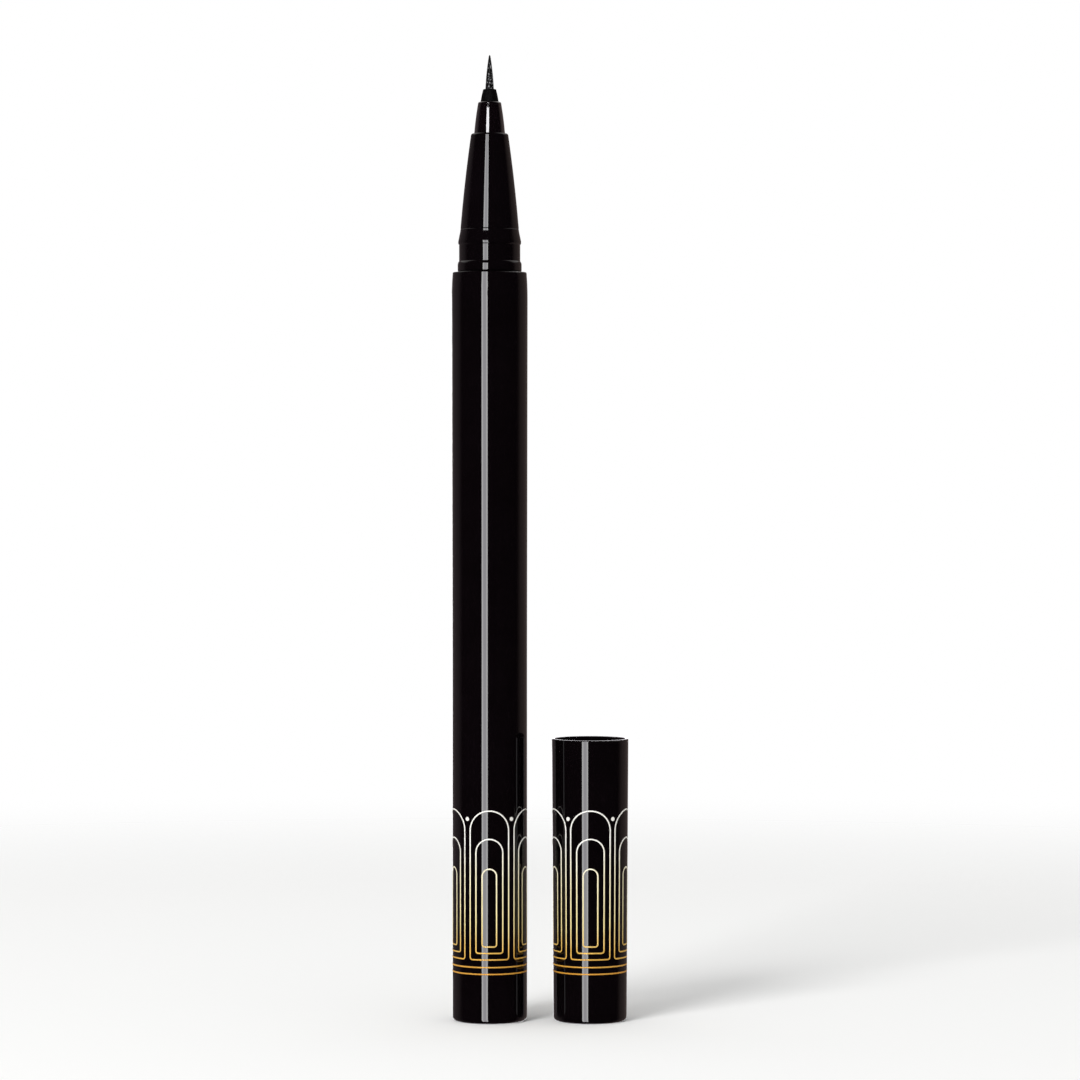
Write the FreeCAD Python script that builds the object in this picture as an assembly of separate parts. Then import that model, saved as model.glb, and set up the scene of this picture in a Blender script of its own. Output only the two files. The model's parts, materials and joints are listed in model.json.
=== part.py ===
import FreeCAD, Part
import math
import os

# Liquid eyeliner pen with its cap off. All sizes are in millimetres.
# The pen stands on its base, with its axis on Z and its tip up. The cap stands beside it at +X, mouth up.

# Barrel: a straight tube that swells a little towards the shoulder
barrel_length = 98.55
barrel_d = 9.83
barrel_wall = 0.95
barrel_swell = 0.075
barrel_straight_length = 48.0
barrel_base_round = 0.6
shoulder_ease_length = 3.4
shoulder_ease_drop = 0.13
shoulder_edge_round = 0.12

# Ribs inside the barrel: low ones centre the reservoir, tall ones stop its rear end
rib_count = 6
rib_width = 0.6
rib_height = 0.45
rib_front_gap = 1.0
stop_rib_height = 1.3
stop_rib_length = 8.0

# Tail plug: a cup that snaps into the barrel's rear end
plug_length = 6.0
plug_wall = 0.9
plug_bead_rise = 0.12
plug_bead_half_length = 0.4

# Reservoir: a fibre rod in a plastic film
reservoir_length = 46.0
reservoir_front_gap = 0.3
film_thickness = 0.12

# Front section: spigot in the barrel, then the bead, groove and lip of the cap snap, then the conical grip
# with a fine ring groove
spigot_length = 11.0
spigot_wall = 0.8
spigot_lead = 0.4
bead_seat = 0.24
bead_height = 1.45
bead_foot_drop = 0.12
bead_foot_height = 0.3
bead_lead_height = 0.45
groove_depth = 0.185
groove_height = 2.17
lip_rise = 0.115
lip_height = 0.42
lip_lead_height = 0.21
flare_drop = 0.265
flare_height = 1.3
ring_land = 0.26
ring_groove_height = 0.14
ring_groove_depth = 0.05
grip_bulge = 0.09
grip_rim = 0.44
grip_wall = 0.6
grip_edge_round = 0.3

# Nozzle: a stepped tube whose cone comes out of the grip
nozzle_length = 4.15
nozzle_taper = 0.5
nozzle_bulge = 0.045
nozzle_rim = 0.345
nozzle_wall = 0.4
nozzle_edge_round = 0.24
nozzle_flange_rise = 0.4

# Nib collar: a small stepped tube whose cone comes out of the nozzle
collar_length = 1.67
collar_taper = 0.305
collar_bulge = 0.03
collar_rim = 0.32
collar_edge_round = 0.15
collar_flange_rise = 0.3
collar_body_length = 3.0

# Nib: a felt rod, pointed at both ends
nib_d = 1.12
nib_taper_length = 4.5
nib_bulge = 0.07
nib_tip_r = 0.085
nib_tail_straight = 0.5

# Feed wick and the sleeve that holds it
wick_d = 2.6
wick_front_gap = 0.9
wick_socket_depth = 8.0
holder_recess = 0.6
vent_count = 4
vent_width = 0.7
vent_depth = 0.5

# Cap shell: tapers towards its closed end
cap_length = 37.2
cap_overhang = 0.055
cap_draft = 0.215
cap_rim_wall = 0.42
cap_rim_round = 0.14
cap_corner_round = 0.55
cap_end_wall = 1.1
cap_ledge = 0.3
cap_stand_gap = 3.185

# Cap liner: snap sleeve near the mouth
liner_inset = 0.7
liner_length = 9.2
snap_height = 1.0
snap_play = 0.1
liner_neck_slope = 1.0

# Inner cap: sprung thimble that seals on the grip
inner_cap_wall = 0.6
inner_cap_end_wall = 0.8
inner_cap_flange_height = 1.0
seat_length = 1.4
seat_push = 0.8
tip_room = 1.32

# Spring between the cap's end and the inner cap
spring_wire_d = 0.35
spring_d = 5.0
spring_turns = 6
spring_length = 6.23
spring_post_height = 0.8

# Clearances, each on one side
press_gap = 0.015
slip_gap = 0.05
slide_gap = 0.1
snap_gap = 0.04
rest_gap = 0.02

# Radii that follow from the barrel, from outside to inside
barrel_r = barrel_d / 2
shoulder_r = barrel_r + barrel_swell
bore_r = barrel_r - barrel_wall
bead_r = bore_r + bead_seat
groove_r = bead_r - groove_depth
lip_r = groove_r + lip_rise
grip_rear_r = lip_r - flare_drop
spigot_r = bore_r - press_gap
holder_bore_r = spigot_r - spigot_wall
film_r = bore_r - rib_height - slip_gap
core_r = film_r - film_thickness - rest_gap

# Radii that follow from the nib, from inside to outside
nib_r = nib_d / 2
wick_r = wick_d / 2
collar_front_r = nib_r + collar_rim
collar_rear_r = collar_front_r + collar_taper
collar_flange_r = collar_rear_r + collar_flange_rise
nozzle_front_r = collar_rear_r + nozzle_rim
nozzle_rear_r = nozzle_front_r + nozzle_taper
nozzle_flange_r = nozzle_rear_r + nozzle_flange_rise
nozzle_bore_r = max(collar_flange_r + press_gap, wick_r + slip_gap)
grip_front_r = nozzle_rear_r + grip_rim

# The cap's length is shared out: what the front of the pen leaves over is the grip's
neck_height = bead_height + groove_height + lip_height + flare_height
point_length = nozzle_length + collar_length + nib_taper_length
tip_depth = cap_length - cap_end_wall - spring_length - inner_cap_end_wall - tip_room + seat_push
grip_length = tip_depth - neck_height - point_length

# Heights along the pen
shoulder_z = barrel_length
bead_top_z = shoulder_z + bead_height
groove_top_z = bead_top_z + groove_height
lip_top_z = groove_top_z + lip_height
grip_rear_z = lip_top_z + flare_height
grip_front_z = grip_rear_z + grip_length
nozzle_front_z = grip_front_z + nozzle_length
collar_front_z = nozzle_front_z + collar_length
tip_z = collar_front_z + nib_taper_length
spigot_rear_z = shoulder_z - spigot_length
reservoir_front_z = spigot_rear_z - reservoir_front_gap
reservoir_rear_z = reservoir_front_z - reservoir_length
plug_bead_z = plug_length / 2

# The nozzle's and the collar's flanges seat where the cone around them is thick enough
nozzle_seat_r = min(nozzle_flange_r + press_gap + grip_wall, grip_rear_r)
nozzle_seat_z = grip_front_z - grip_length * (nozzle_seat_r - grip_front_r) / (grip_rear_r - grip_front_r)
collar_seat_r = nozzle_bore_r + nozzle_wall
collar_seat_z = nozzle_front_z - nozzle_length * (collar_seat_r - nozzle_front_r) / nozzle_taper
collar_rear_z = collar_seat_z - collar_body_length
wick_front_z = collar_rear_z - wick_front_gap
wick_rear_z = reservoir_front_z - wick_socket_depth
nib_tail_taper_z = wick_front_z - nib_tail_straight
nib_tail_z = nib_tail_taper_z - nib_taper_length


def grip_radius(pen_z):
    # Radius of the bowed grip: its straight cone plus the bulge
    share = (pen_z - grip_rear_z) / grip_length
    cone_r = grip_rear_r + share * (grip_front_r - grip_rear_r)
    return cone_r + 4 * grip_bulge * share * (1 - share)


# Cap, measured from its closed end
cap_mouth_r = shoulder_r + cap_overhang
cap_end_r = cap_mouth_r - cap_draft
cap_bore_r = cap_mouth_r - cap_rim_wall
cap_x = shoulder_r + cap_stand_gap + cap_mouth_r
liner_front_z = cap_length - liner_inset
liner_rear_z = liner_front_z - liner_length
liner_r = cap_bore_r - press_gap
liner_bore_r = max(bead_r, lip_r) + slip_gap
liner_neck_r = grip_rear_r + slide_gap
snap_r = groove_r + snap_gap

# Inner cap: its seat takes its size from the grip where the two meet, and the cap's deep bore clears its body
inner_cap_front_z = liner_rear_z - rest_gap
inner_cap_end_z = cap_end_wall + spring_length
seat_pen_z = shoulder_z + cap_length - inner_cap_front_z + seat_push
seat_r = grip_radius(seat_pen_z) + rest_gap
inner_cap_hollow_r = grip_radius(seat_pen_z + seat_length) + rest_gap
inner_cap_r = inner_cap_hollow_r + inner_cap_wall
cap_deep_bore_r = max(cap_bore_r - cap_ledge, inner_cap_r + 2 * slide_gap)
inner_cap_flange_r = cap_deep_bore_r - slide_gap
spring_post_r = (spring_d - spring_wire_d) / 2 - slide_gap


def in_cap(pen_z):
    # Height in the standing cap that meets a height on the pen, once the cap is turned over and pushed on
    return cap_length - (pen_z - shoulder_z)


def bowed(start, end, bulge):
    # Middle of a gently curved line from start to end
    return ((start[0] + end[0]) / 2 + bulge, (start[1] + end[1]) / 2)


def eased(start, end):
    # Middle of an arc that leaves start upright, turns towards the axis and stops at end
    drop = start[0] - end[0]
    height = end[1] - start[1]
    radius = (drop ** 2 + height ** 2) / (2 * drop)
    half_turn = math.atan2(drop, abs(height))
    along = math.copysign(radius * math.sin(half_turn), height)
    return (start[0] - radius * (1 - math.cos(half_turn)), start[1] + along)


def around(centre, radius, degrees):
    # Point on a rounded edge
    angle = math.radians(degrees)
    return (centre[0] + radius * math.cos(angle), centre[1] + radius * math.sin(angle))


def turned(start, *steps):
    # Solid of revolution about Z. A step is a point (r, z), or a pair of points: the middle and end of an arc
    edges = []
    here = FreeCAD.Vector(start[0], 0, start[1])
    first = here
    for step in steps + (start,):
        if isinstance(step[0], tuple):
            middle, end = (FreeCAD.Vector(r, 0, z) for r, z in step)
            edges.append(Part.Arc(here, middle, end).toShape())
        else:
            end = first if step == start else FreeCAD.Vector(step[0], 0, step[1])
            edges.append(Part.LineSegment(here, end).toShape())
        here = end
    face = Part.Face(Part.Wire(edges))
    return face.revolve(FreeCAD.Vector(0, 0, 0), FreeCAD.Vector(0, 0, 1), 360)


def spokes(count, inner_r, outer_r, width, low_z, high_z):
    # Boxes that stand evenly around the Z axis
    boxes = []
    for i in range(count):
        corner = FreeCAD.Vector(inner_r, -width / 2, low_z)
        box = Part.makeBox(outer_r - inner_r, width, high_z - low_z, corner)
        box.rotate(FreeCAD.Vector(0, 0, 0), FreeCAD.Vector(0, 0, 1), 360 * i / count)
        boxes.append(box)
    return boxes


def beside_pen(shape):
    # Moves a cap piece from the pen's axis to where the cap stands
    shape.translate(FreeCAD.Vector(cap_x, 0, 0))
    return shape


def make_barrel():
    base = barrel_base_round
    ease_start = (shoulder_r, shoulder_z - shoulder_ease_length)
    ease_end = (shoulder_r - shoulder_ease_drop, shoulder_z - shoulder_edge_round)
    edge_centre = (ease_end[0] - shoulder_edge_round, ease_end[1])
    groove_half = plug_bead_half_length + slip_gap
    groove_bottom = (bore_r + plug_bead_rise + slip_gap, plug_bead_z)
    tube = turned(
        (bore_r, 0),
        (barrel_r - base, 0),
        (around((barrel_r - base, base), base, -45), (barrel_r, base)),
        (barrel_r, barrel_straight_length),
        ease_start,
        (bowed(ease_start, ease_end, shoulder_ease_drop / 4), ease_end),
        (around(edge_centre, shoulder_edge_round, 45), (edge_centre[0], shoulder_z)),
        (bore_r, shoulder_z),
        (bore_r, plug_bead_z + groove_half),
        (groove_bottom, (bore_r, plug_bead_z - groove_half)),
    )
    root_r = bore_r + barrel_wall / 2
    stop_low_z = reservoir_rear_z - stop_rib_length
    ribs_high_z = reservoir_front_z - rib_front_gap
    low_ribs = spokes(rib_count, bore_r - rib_height, root_r, rib_width, stop_low_z, ribs_high_z)
    stop_ribs = spokes(rib_count, bore_r - stop_rib_height, root_r, rib_width, stop_low_z, reservoir_rear_z)
    return tube.fuse(low_ribs + stop_ribs).removeSplitter()


def make_tail_plug():
    plug_r = bore_r - press_gap
    bead_low = plug_bead_z - plug_bead_half_length
    bead_high = plug_bead_z + plug_bead_half_length
    return turned(
        (0, 0),
        (plug_r, 0),
        (plug_r, bead_low),
        ((plug_r + plug_bead_rise, plug_bead_z), (plug_r, bead_high)),
        (plug_r, plug_length),
        (plug_r - plug_wall, plug_length),
        (plug_r - plug_wall, plug_wall),
        (0, plug_wall),
    )


def make_reservoir_core():
    socket_r = wick_r + rest_gap
    socket_z = wick_rear_z - rest_gap
    return turned(
        (0, reservoir_rear_z),
        (core_r, reservoir_rear_z),
        (core_r, reservoir_front_z),
        (socket_r, reservoir_front_z),
        (socket_r, socket_z),
        (0, socket_z),
    )


def make_reservoir_film():
    inner_r = film_r - film_thickness
    return turned(
        (inner_r, reservoir_rear_z),
        (film_r, reservoir_rear_z),
        (film_r, reservoir_front_z),
        (inner_r, reservoir_front_z),
    )


def make_front_section():
    foot_start = (bead_r - bead_foot_drop, shoulder_z)
    foot_end = (bead_r, shoulder_z + bead_foot_height)
    lead_start = (bead_r, bead_top_z - bead_lead_height)
    lead_end = (groove_r, bead_top_z)
    lip_start = (groove_r, groove_top_z)
    lip_end = (lip_r, groove_top_z + lip_lead_height)
    ring_rear_z = grip_rear_z + ring_land
    ring_middle_z = ring_rear_z + ring_groove_height / 2
    ring_front_z = ring_rear_z + ring_groove_height
    ring_front = (grip_radius(ring_front_z), ring_front_z)
    edge = grip_edge_round
    grip_end = (grip_front_r, grip_front_z - edge)
    nozzle_hole_r = nozzle_rear_r + press_gap
    flange_bore_r = nozzle_flange_r + press_gap
    return turned(
        (holder_bore_r, spigot_rear_z),
        (spigot_r - spigot_lead / 2, spigot_rear_z),
        (spigot_r, spigot_rear_z + spigot_lead),
        (spigot_r, shoulder_z),
        foot_start,
        (eased(foot_end, foot_start), foot_end),
        lead_start,
        (eased(lead_start, lead_end), lead_end),
        lip_start,
        (eased(lip_end, lip_start), lip_end),
        (lip_r, lip_top_z),
        (grip_rear_r, grip_rear_z),
        (grip_radius(ring_rear_z), ring_rear_z),
        (grip_radius(ring_middle_z) - ring_groove_depth, ring_middle_z),
        ring_front,
        (bowed(ring_front, grip_end, grip_bulge), grip_end),
        (around((grip_end[0] - edge, grip_end[1]), edge, 45), (grip_front_r - edge, grip_front_z)),
        (nozzle_hole_r, grip_front_z),
        (nozzle_hole_r, nozzle_seat_z),
        (flange_bore_r, nozzle_seat_z),
        (flange_bore_r, lip_top_z),
        (holder_bore_r, lip_top_z),
    )


def make_nozzle():
    edge = nozzle_edge_round
    cone_start = (nozzle_rear_r, grip_front_z)
    cone_end = (nozzle_front_r, nozzle_front_z - edge)
    collar_hole_r = collar_rear_r + press_gap
    return turned(
        (nozzle_bore_r, lip_top_z),
        (nozzle_flange_r, lip_top_z),
        (nozzle_flange_r, nozzle_seat_z),
        (nozzle_rear_r, nozzle_seat_z),
        cone_start,
        (bowed(cone_start, cone_end, nozzle_bulge), cone_end),
        (around((cone_end[0] - edge, cone_end[1]), edge, 45), (nozzle_front_r - edge, nozzle_front_z)),
        (collar_hole_r, nozzle_front_z),
        (collar_hole_r, collar_seat_z),
        (nozzle_bore_r, collar_seat_z),
    )


def make_nib_collar():
    edge = collar_edge_round
    cone_start = (collar_rear_r, nozzle_front_z)
    cone_end = (collar_front_r, collar_front_z - edge)
    nib_hole_r = nib_r + press_gap
    return turned(
        (nib_hole_r, collar_rear_z),
        (collar_flange_r, collar_rear_z),
        (collar_flange_r, collar_seat_z),
        (collar_rear_r, collar_seat_z),
        cone_start,
        (bowed(cone_start, cone_end, collar_bulge), cone_end),
        (around((cone_end[0] - edge, cone_end[1]), edge, 45), (collar_front_r - edge, collar_front_z)),
        (nib_hole_r, collar_front_z),
    )


def make_nib():
    tail_end = (nib_tip_r, nib_tail_z)
    tail_start = (nib_r, nib_tail_taper_z)
    point_start = (nib_r, collar_front_z)
    point_end = (nib_tip_r, tip_z - nib_tip_r)
    return turned(
        (0, nib_tail_z),
        tail_end,
        (bowed(tail_end, tail_start, nib_bulge), tail_start),
        point_start,
        (bowed(point_start, point_end, nib_bulge), point_end),
        (around((0, point_end[1]), nib_tip_r, 45), (0, tip_z)),
    )


def make_feed_wick():
    socket_r = nib_r + rest_gap
    socket_start = (socket_r, nib_tail_taper_z)
    socket_end = (nib_tip_r + rest_gap, nib_tail_z - rest_gap)
    return turned(
        (0, wick_rear_z),
        (wick_r, wick_rear_z),
        (wick_r, wick_front_z),
        (socket_r, wick_front_z),
        socket_start,
        (bowed(socket_start, socket_end, nib_bulge + rest_gap), socket_end),
        (0, socket_end[1]),
    )


def make_wick_holder():
    rear_z = spigot_rear_z + holder_recess
    holder_r = holder_bore_r - press_gap
    hole_r = wick_r + rest_gap
    sleeve = turned((hole_r, rear_z), (holder_r, rear_z), (holder_r, lip_top_z), (hole_r, lip_top_z))
    vents = spokes(vent_count, holder_r - vent_depth, holder_r + vent_depth, vent_width, rear_z, lip_top_z)
    return sleeve.cut(vents)


def make_cap_shell():
    corner = cap_corner_round
    rim = cap_rim_round
    rim_out = (cap_mouth_r - rim, cap_length - rim)
    rim_in = (cap_bore_r + rim, cap_length - rim)
    post_top_z = cap_end_wall + spring_post_height
    return beside_pen(turned(
        (0, 0),
        (cap_end_r - corner, 0),
        (around((cap_end_r - corner, corner), corner, -45), (cap_end_r, corner)),
        (cap_mouth_r, rim_out[1]),
        (around(rim_out, rim, 45), (rim_out[0], cap_length)),
        (rim_in[0], cap_length),
        (around(rim_in, rim, 135), (cap_bore_r, rim_in[1])),
        (cap_bore_r, liner_rear_z),
        (cap_deep_bore_r, liner_rear_z),
        (cap_deep_bore_r, cap_end_wall),
        (spring_post_r, cap_end_wall),
        (spring_post_r, post_top_z),
        (0, post_top_z),
    ))


def make_cap_liner():
    snap_low_z = in_cap(groove_top_z - snap_play)
    snap_high_z = snap_low_z + snap_height
    neck_high_z = in_cap(lip_top_z + slide_gap)
    return beside_pen(turned(
        (liner_r, liner_rear_z),
        (liner_r, liner_front_z),
        (liner_bore_r, liner_front_z),
        (liner_bore_r, snap_high_z),
        ((snap_r, (snap_low_z + snap_high_z) / 2), (liner_bore_r, snap_low_z)),
        (liner_bore_r, neck_high_z),
        (liner_neck_r, neck_high_z - liner_neck_slope),
        (liner_neck_r, liner_rear_z),
    ))


def make_inner_cap():
    end_z = inner_cap_end_z
    inside_z = end_z + inner_cap_end_wall
    flange_low_z = inner_cap_front_z - inner_cap_flange_height
    return beside_pen(turned(
        (0, end_z - spring_post_height),
        (spring_post_r, end_z - spring_post_height),
        (spring_post_r, end_z),
        (inner_cap_r, end_z),
        (inner_cap_r, flange_low_z),
        (inner_cap_flange_r, flange_low_z),
        (inner_cap_flange_r, inner_cap_front_z),
        (seat_r, inner_cap_front_z),
        (inner_cap_hollow_r, inner_cap_front_z - seat_length),
        (inner_cap_hollow_r, inside_z),
        (0, inside_z),
    ))


def helix_point(angle, low_z, pitch):
    radius = spring_d / 2
    height = low_z + pitch * angle / (2 * math.pi)
    return FreeCAD.Vector(radius * math.cos(angle), radius * math.sin(angle), height)


def helix_tangent(angle, pitch):
    radius = spring_d / 2
    tangent = FreeCAD.Vector(-radius * math.sin(angle), radius * math.cos(angle), pitch / (2 * math.pi))
    return tangent.normalize()


def tangent_arc(start, tangent, end):
    # Arc that leaves start along tangent and ends at end
    chord = end - start
    half = chord.Length / 2
    along = chord / chord.Length
    side = tangent - along * tangent.dot(along)
    lean = math.atan2(side.Length, tangent.dot(along))
    middle = (start + end) / 2 + side.normalize() * (half * math.tan(lean / 2))
    return Part.Arc(start, middle, end).toShape()


def biarc(start, start_tangent, end, end_tangent):
    # Two arcs that meet smoothly, from start to end
    span = end - start
    both = start_tangent + end_tangent
    turn = 2 * (1 - start_tangent.dot(end_tangent))
    reach = (-span.dot(both) + math.sqrt(span.dot(both) ** 2 + turn * span.dot(span))) / turn
    first_knee = start + start_tangent * reach
    last_knee = end - end_tangent * reach
    meet = (first_knee + last_knee) / 2
    meet_tangent = (last_knee - first_knee).normalize()
    return [tangent_arc(start, start_tangent, meet), tangent_arc(meet, meet_tangent, end)]


def make_inner_cap_spring():
    low_z = cap_end_wall + spring_wire_d / 2 + rest_gap
    high_z = inner_cap_end_z - spring_wire_d / 2 - rest_gap
    pitch = (high_z - low_z) / spring_turns
    quarter = math.pi / 2
    edges = []
    for i in range(4 * spring_turns):
        start = helix_point(i * quarter, low_z, pitch)
        end = helix_point((i + 1) * quarter, low_z, pitch)
        edges += biarc(start, helix_tangent(i * quarter, pitch), end, helix_tangent((i + 1) * quarter, pitch))
    path = Part.Wire(edges)
    wire_circle = Part.makeCircle(spring_wire_d / 2, helix_point(0, low_z, pitch), helix_tangent(0, pitch))
    spring = path.makePipeShell([Part.Wire([wire_circle])], True, False)
    report_spring(path, spring)
    return beside_pen(spring)


def report_spring(path, spring):
    # Least gap between the wire and itself, on points along the path that are more than half a turn apart
    points_per_turn = 48
    points = path.discretize(Number=points_per_turn * spring_turns + 1)
    least = min(
        points[i].distanceToPoint(points[j])
        for i in range(len(points))
        for j in range(i + points_per_turn // 2, len(points))
    )
    expected = math.pi * (spring_wire_d / 2) ** 2 * path.Length
    print("spring: least gap to itself %.2f mm" % (least - spring_wire_d))
    print("spring: volume %.3f mm3, section times length %.3f mm3" % (spring.Volume, expected))


pieces = {
    "barrel": make_barrel,
    "tail_plug": make_tail_plug,
    "reservoir_core": make_reservoir_core,
    "reservoir_film": make_reservoir_film,
    "front_section": make_front_section,
    "nozzle": make_nozzle,
    "nib_collar": make_nib_collar,
    "nib": make_nib,
    "feed_wick": make_feed_wick,
    "wick_holder": make_wick_holder,
    "cap_shell": make_cap_shell,
    "cap_liner": make_cap_liner,
    "inner_cap": make_inner_cap,
    "inner_cap_spring": make_inner_cap_spring,
}

os.makedirs("parts", exist_ok=True)
for node, make in pieces.items():
    solid = make()
    print("%s: %.2f mm3, valid %s, solids %d" % (node, solid.Volume, solid.isValid(), len(solid.Solids)))
    solid.exportStep("parts/%s.step" % node)
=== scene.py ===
import bmesh
import bpy
import json
import math
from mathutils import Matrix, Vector, noise


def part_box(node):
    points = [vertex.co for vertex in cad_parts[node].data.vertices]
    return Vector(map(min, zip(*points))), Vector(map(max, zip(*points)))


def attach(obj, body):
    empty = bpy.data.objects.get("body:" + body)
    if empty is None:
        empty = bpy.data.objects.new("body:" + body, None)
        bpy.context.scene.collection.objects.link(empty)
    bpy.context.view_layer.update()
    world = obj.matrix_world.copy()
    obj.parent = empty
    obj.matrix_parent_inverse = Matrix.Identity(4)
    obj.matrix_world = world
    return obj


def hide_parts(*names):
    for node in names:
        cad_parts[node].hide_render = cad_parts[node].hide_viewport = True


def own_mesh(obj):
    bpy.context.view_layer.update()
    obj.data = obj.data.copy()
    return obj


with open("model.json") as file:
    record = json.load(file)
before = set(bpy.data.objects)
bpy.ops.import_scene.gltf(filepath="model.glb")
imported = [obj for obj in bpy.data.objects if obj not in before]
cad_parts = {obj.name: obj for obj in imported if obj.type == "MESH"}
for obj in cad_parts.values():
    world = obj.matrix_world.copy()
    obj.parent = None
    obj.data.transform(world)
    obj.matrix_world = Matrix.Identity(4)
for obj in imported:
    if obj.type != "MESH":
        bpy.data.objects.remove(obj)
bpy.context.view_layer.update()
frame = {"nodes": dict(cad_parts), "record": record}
nodes = frame["nodes"]
mm = 0.001
calc = "ShaderNodeMath"  # the kind of node that the trees use most
print("frame loaded:", len(nodes), "nodes")


# small helpers

def fromHex(code):
    channels = [int(code[i:i + 2], 16) / 255 for i in (1, 3, 5)]
    linear = [c / 12.92 if c <= 0.04045 else ((c + 0.055) / 1.055) ** 2.4 for c in channels]
    return (*linear, 1.0)


def perMm(size):
    return 1 / (size * mm)  # texture scale for a pattern of that size in millimetres


def addNode(tree, kind, inputs=None, stops=None, **settings):
    # an input is a value, a socket, or a node whose first output is linked; stops fill a colour ramp
    node = tree.nodes.new(kind)
    for key, value in settings.items():
        setattr(node, key, value)
    for key, value in (inputs or {}).items():
        if isinstance(value, bpy.types.Node):
            value = value.outputs[0]
        if isinstance(value, bpy.types.NodeSocket):
            tree.links.new(value, node.inputs[key])
        else:
            node.inputs[key].default_value = value
    if stops:
        elements = node.color_ramp.elements
        elements.remove(elements[0])
        elements[0].position = stops[0][0]
        elements[0].color = fromHex(stops[0][1])
        for place, code in stops[1:]:
            elements.new(place).color = fromHex(code)
    return node


def startMaterial(name):
    material = bpy.data.materials.new(name)
    material.use_nodes = True
    tree = material.node_tree
    tree.nodes.clear()
    return material, tree, addNode(tree, "ShaderNodeTexCoord").outputs["Object"]


def newObject(name, mesh, material=None):
    thing = bpy.data.objects.new(name, mesh)
    bpy.context.scene.collection.objects.link(thing)
    if material:
        mesh.materials.append(material)
    return thing


def fromBmesh(name, work, material):
    mesh = bpy.data.meshes.new(name)
    work.to_mesh(mesh)
    work.free()
    return newObject(name, mesh, material)


# materials

def makeGlossBlackAbs(name, look):
    # ABS from a mirror-polished mould: deep warm black, sharp reflections, faint polishing lines
    material, tree, coords = startMaterial(name)
    lineShare = 0.05  # height of the polishing lines, where that of the waver is 1
    waver = addNode(tree, "ShaderNodeTexNoise", {"Vector": coords, "Scale": perMm(3.2), "Detail": 1.0})
    drawn = addNode(tree, "ShaderNodeMapping", {"Vector": coords, "Scale": (1, 1, 0.03)})
    lines = addNode(tree, "ShaderNodeTexNoise", {"Vector": drawn, "Scale": perMm(0.25), "Detail": 2.0})
    height = addNode(tree, calc, {0: lines, 1: lineShare, 2: waver}, operation="MULTIPLY_ADD")
    bump = addNode(tree, "ShaderNodeBump", {"Height": height, "Distance": look["waver"] * mm})
    haze = addNode(tree, "ShaderNodeTexNoise", {
        "Vector": coords, "Scale": perMm(7), "Detail": 5.0, "Roughness": 0.65})
    rough = addNode(tree, "ShaderNodeMapRange", {
        "Value": haze, "From Min": 0.3, "From Max": 0.75,
        "To Min": look["roughLow"], "To Max": look["roughHigh"]})
    tone = addNode(tree, "ShaderNodeValToRGB", {"Fac": haze}, stops=[(0.3, "#050304"), (0.75, "#080507")])
    shader = addNode(tree, "ShaderNodeBsdfPrincipled", {
        "Base Color": tone, "Roughness": rough, "Normal": bump, "IOR": look["ior"],
        "Coat Weight": look["coat"], "Coat IOR": 1.9, "Coat Roughness": 0.04})
    addNode(tree, "ShaderNodeOutputMaterial", {"Surface": shader})
    return material


def makeSatinBlackPp(name, look):
    # polypropylene from a spark-eroded mould: flat black, a faint soft sheen, very fine grain
    material, tree, coords = startMaterial(name)
    grain = addNode(tree, "ShaderNodeTexNoise", {"Vector": coords, "Scale": perMm(0.09), "Detail": 3.0})
    cloud = addNode(tree, "ShaderNodeTexNoise", {"Vector": coords, "Scale": perMm(1.6), "Detail": 2.0})
    bump = addNode(tree, "ShaderNodeBump", {"Height": grain, "Distance": 0.004 * mm})
    rough = addNode(tree, "ShaderNodeMapRange", {
        "Value": cloud, "From Min": 0.3, "From Max": 0.7,
        "To Min": look["roughLow"], "To Max": look["roughHigh"]})
    tone = addNode(tree, "ShaderNodeValToRGB", {"Fac": cloud}, stops=[
        (0.3, look["dark"]), (0.7, look["light"])])
    shader = addNode(tree, "ShaderNodeBsdfPrincipled", {
        "Base Color": tone, "Roughness": rough, "Normal": bump, "IOR": 1.49,
        "Specular IOR Level": look["specular"]})
    addNode(tree, "ShaderNodeOutputMaterial", {"Surface": shader})
    return material


def makeWetFelt():
    # bonded nylon fibre, wet with black liquid: black, with fine grey glints painted into its colour where
    # single fibres stand out
    material, tree, coords = startMaterial("wetFelt")
    drawn = addNode(tree, "ShaderNodeMapping", {"Vector": coords, "Scale": (1, 1, 0.7)})
    glints = addNode(tree, "ShaderNodeTexNoise", {  # coarser than the real fibres, so that they show
        "Vector": drawn, "Scale": perMm(0.19), "Detail": 2.0, "Roughness": 0.6})
    bump = addNode(tree, "ShaderNodeBump", {"Height": glints, "Distance": 0.05 * mm})
    # painted glints: light grey specks in the base colour stand in for fibre ends that catch the light
    tone = addNode(tree, "ShaderNodeValToRGB", {"Fac": glints}, stops=[
        (0.52, "#030303"), (0.6, "#333334"), (0.67, "#a8a8ab")])
    shader = addNode(tree, "ShaderNodeBsdfPrincipled", {
        "Base Color": tone, "Roughness": 0.4, "Normal": bump, "Specular IOR Level": 0.25})
    addNode(tree, "ShaderNodeOutputMaterial", {"Surface": shader})
    return material


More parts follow.
